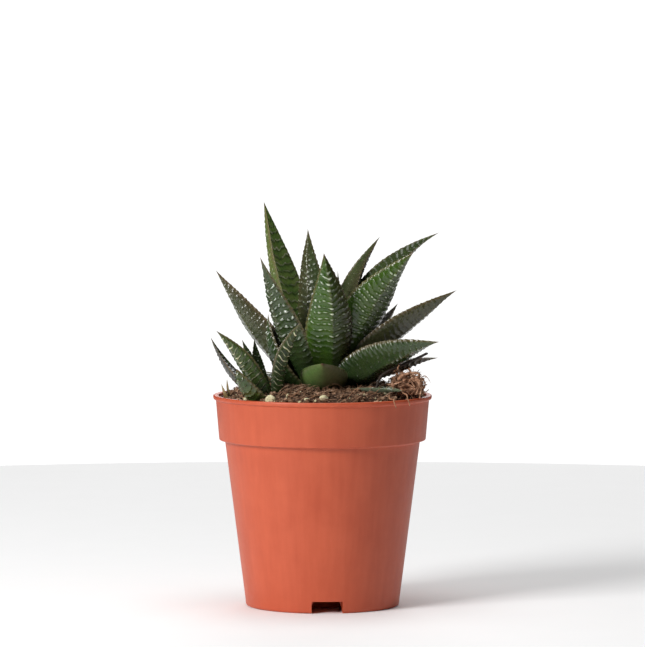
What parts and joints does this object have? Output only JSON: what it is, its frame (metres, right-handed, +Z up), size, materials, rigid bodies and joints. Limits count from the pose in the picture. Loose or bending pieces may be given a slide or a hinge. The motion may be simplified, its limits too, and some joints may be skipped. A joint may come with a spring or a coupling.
{
  "type": "potted haworthia",
  "caption": "Haworthia rosette of thick tapering keeled leaves with an offset, growing from peat in a round tapered terracotta-coloured plastic nursery pot.",
  "frame": {"origin": "middle of the pot's underside, in the plane that the pot stands on", "axes": "+Z up along the pot's axis, -Y the side that the offset rosette and the front drainage notch face, +X to the right seen from that side"},
  "size_m": [0.0951, 0.085, 0.156],
  "materials": {
    "pot": "satin terracotta-coloured polypropylene",
    "peat": "damp fibrous peat",
    "stem": "fleshy living stem",
    "leaf": "glossy green living leaf with pale tubercles",
    "dark_leaf": "older browned leaf with pale teeth",
    "offset_leaf": "young green leaf with pale cross bands",
    "pup": "dull brownish young spike",
    "withered": "dry brown leaf",
    "roots": "dry fibrous orange-brown roots",
    "perlite": "matte cream grain"
  },
  "bodies": {
    "root": {"main_stem": "stem", "offset_stem": "stem", "leaf_01": "leaf", "leaf_02": "leaf", "leaf_03": "leaf", "leaf_04": "leaf", "leaf_05": "leaf", "leaf_06": "leaf", "leaf_07": "leaf", "leaf_08": "leaf", "leaf_09": "leaf", "leaf_10": "dark_leaf", "leaf_11": "leaf", "leaf_12": "leaf", "leaf_13": "leaf", "leaf_14": "leaf", "leaf_15": "leaf", "leaf_16": "leaf", "leaf_17": "leaf", "leaf_18": "dark_leaf", "leaf_19": "leaf", "leaf_20": "leaf", "leaf_21": "leaf", "leaf_22": "leaf", "offset_leaf_1": "offset_leaf", "offset_leaf_2": "offset_leaf", "offset_leaf_3": "offset_leaf", "offset_leaf_4": "offset_leaf", "offset_leaf_5": "offset_leaf", "offset_leaf_6": "offset_leaf", "pup_leaf_1": "pup", "pup_leaf_2": "pup", "withered_leaf": "withered", "root_clump": "roots", "rootlet_1": "roots", "rootlet_2": "roots", "rootlet_3": "roots", "perlite_1": "perlite", "perlite_2": "perlite", "perlite_3": "perlite", "perlite_4": "perlite", "perlite_5": "perlite", "perlite_6": "perlite", "perlite_7": "perlite", "soil": "peat", "pot": "pot"}
  },
  "joints": []
}
